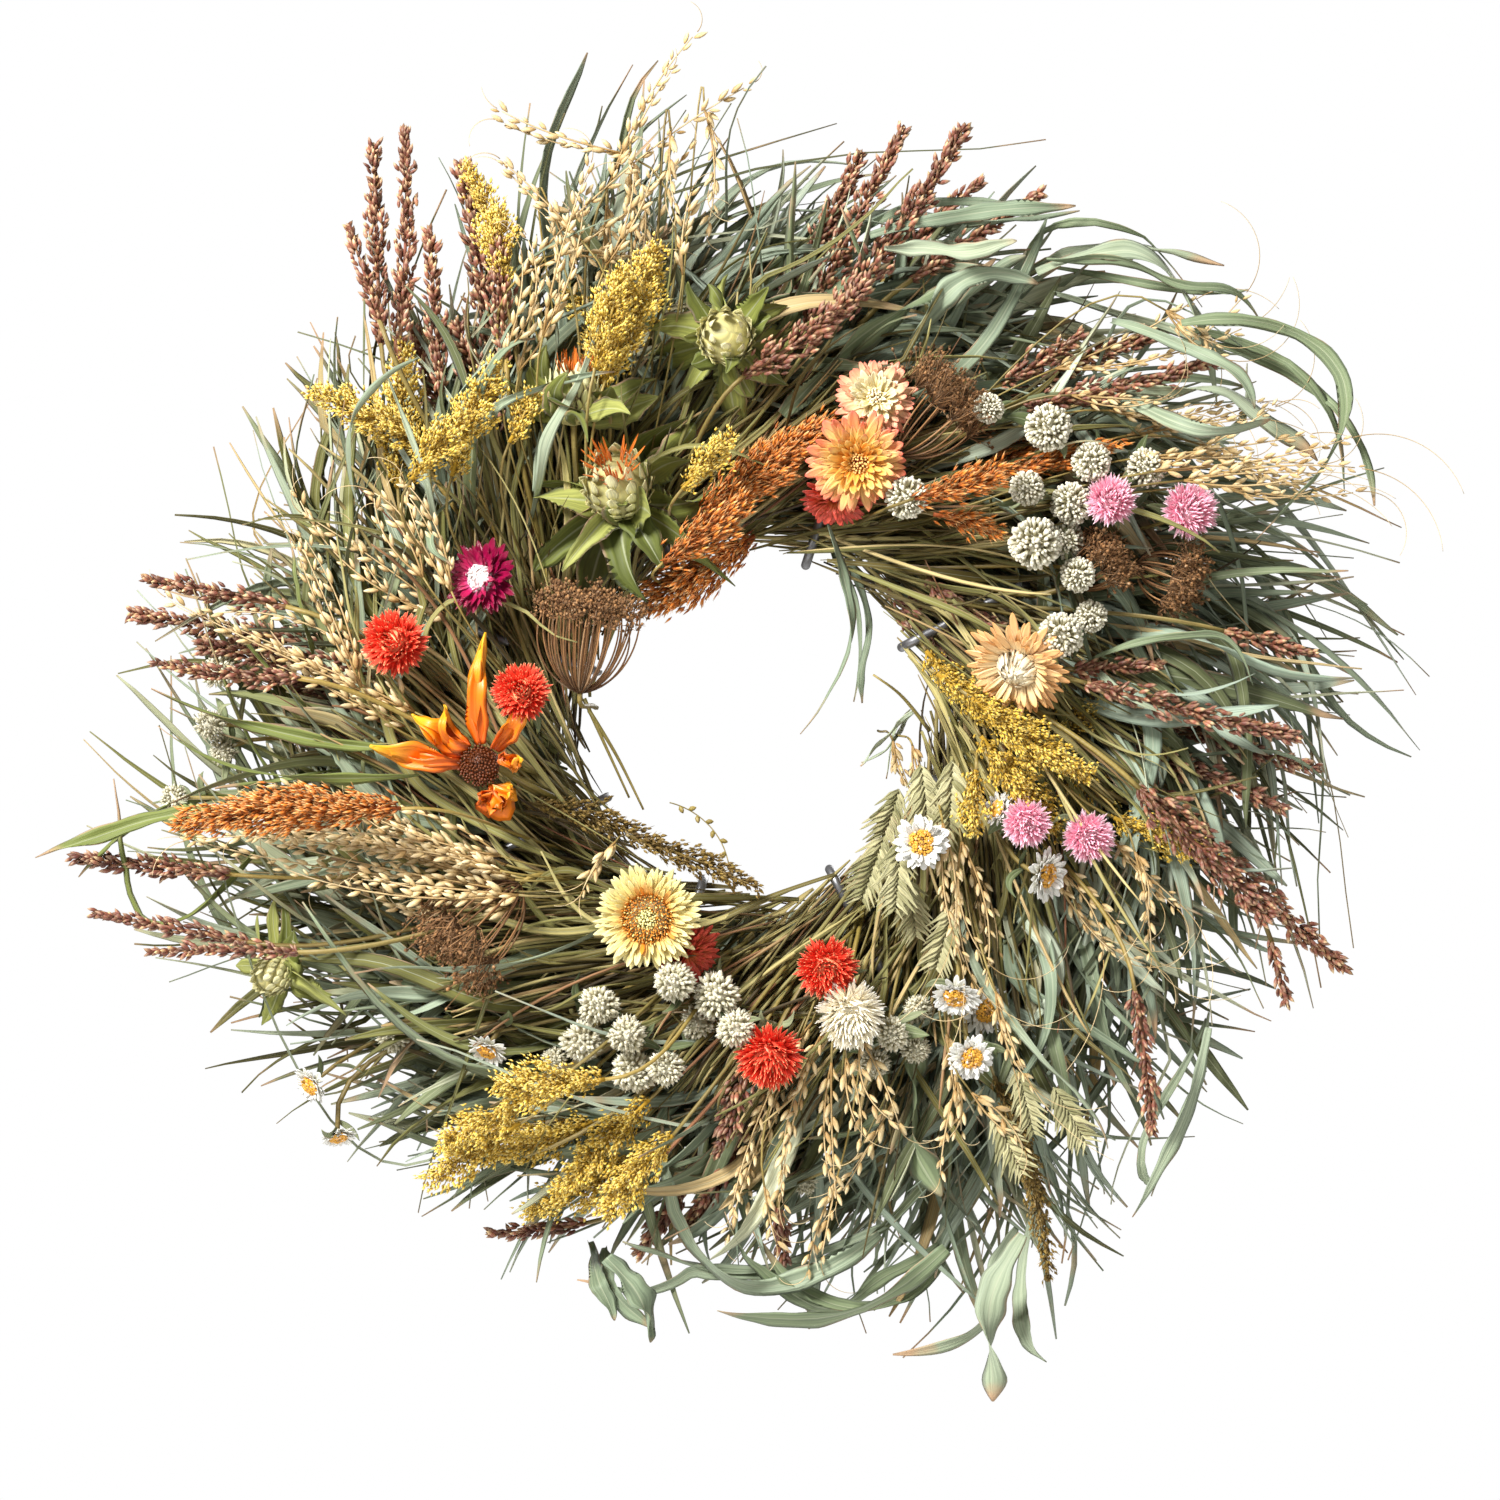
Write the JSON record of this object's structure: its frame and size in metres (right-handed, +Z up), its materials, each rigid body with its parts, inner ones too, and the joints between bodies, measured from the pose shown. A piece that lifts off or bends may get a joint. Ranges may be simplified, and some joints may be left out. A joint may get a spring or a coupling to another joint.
{
  "type": "door wreath",
  "caption": "Harvest door wreath: bundles of dried grass, leaf blades, seed heads and everlasting flowers, laid in a clockwise swirl and clamped to a steel wire ring.",
  "frame": {"origin": "the hang point: the underside of the steel ring's wire at twelve o'clock, where a nail or door hook bears", "axes": "+Z up, the wreath lies in the XZ plane, its decorated face looks along -Y and its back along +Y"},
  "size_m": [0.5971, 0.0985, 0.5761],
  "materials": {
    "ring_steel": "dull drawn steel wire",
    "clamp_steel": "dull grey steel wire",
    "straw": "dry olive straw, fine lengthwise ribs",
    "leaf": "dried grey-green leaf blade, matt with fine veins and tan edges",
    "broad_leaf": "dried broad blade, matt with fine veins and tan edges",
    "strawflower_yellow": "papery petals, satin",
    "strawflowers_coral": "papery petals, satin",
    "strawflower_peach": "papery petals, satin",
    "strawflower_cream": "papery petals, satin",
    "strawflower_apricot": "papery petals, satin",
    "strawflower_magenta": "papery petals, satin",
    "globes_red": "dry pointed bracts",
    "globes_pink": "dry pointed bracts",
    "globe_cream": "dry pointed bracts",
    "ammobium": "papery white petals, orange centre",
    "mint_head": "woolly grey-green calyces",
    "brown_umbel": "dry brown rays and seeds",
    "green_bract": "dry green bracts, matt",
    "orange_sunflower": "curled orange petals round a dark cone",
    "rust_plumes": "feathery rust-coloured plume",
    "goldenrod": "tiny ochre florets",
    "foxtail": "bristly ochre seed head",
    "sorghum": "dry red-brown seeds with paler husks",
    "rice": "dry straw-coloured kernels on thin threads",
    "sea_oats": "flat pale green seed heads"
  },
  "bodies": {
    "root": {"frame_ring": "ring_steel", "clamp_1": "clamp_steel", "clamp_2": "clamp_steel", "clamp_3": "clamp_steel", "clamp_4": "clamp_steel", "clamp_5": "clamp_steel", "clamp_6": "clamp_steel", "clamp_7": "clamp_steel", "clamp_8": "clamp_steel", "stems_1": "straw", "stems_2": "straw", "stems_3": "straw", "stems_4": "straw", "stems_5": "straw", "stems_6": "straw", "stems_7": "straw", "stems_8": "straw", "leaves_1": "leaf", "leaves_2": "leaf", "leaves_3": "leaf", "leaves_4": "leaf", "leaves_5": "leaf", "leaves_6": "leaf", "leaves_7": "leaf", "leaves_8": "leaf", "broad_blades": "broad_leaf", "strawflower_yellow": "strawflower_yellow", "strawflowers_coral": "strawflowers_coral", "strawflower_peach": "strawflower_peach", "strawflower_cream": "strawflower_cream", "strawflower_apricot": "strawflower_apricot", "strawflower_magenta": "strawflower_magenta", "globes_red": "globes_red", "globes_pink": "globes_pink", "globe_cream": "globe_cream", "ammobium": "ammobium", "mint_upper_right": "mint_head", "mint_bottom": "mint_head", "mint_left": "mint_head", "nest_umbel": "brown_umbel", "brown_umbels": "brown_umbel", "safflower_tufted": "green_bract", "safflower_open": "green_bract", "safflower_closed": "green_bract", "safflower_calyx": "green_bract", "orange_sunflower": "orange_sunflower", "rust_plumes": "rust_plumes", "goldenrod_upper_left": "goldenrod", "goldenrod_right": "goldenrod", "goldenrod_bottom": "goldenrod", "foxtail": "foxtail", "sorghum_top": "sorghum", "sorghum_right": "sorghum", "sorghum_bottom": "sorghum", "sorghum_left": "sorghum", "rice_top": "rice", "rice_right": "rice", "rice_bottom": "rice", "rice_left": "rice", "sea_oats": "sea_oats"}
  },
  "joints": []
}
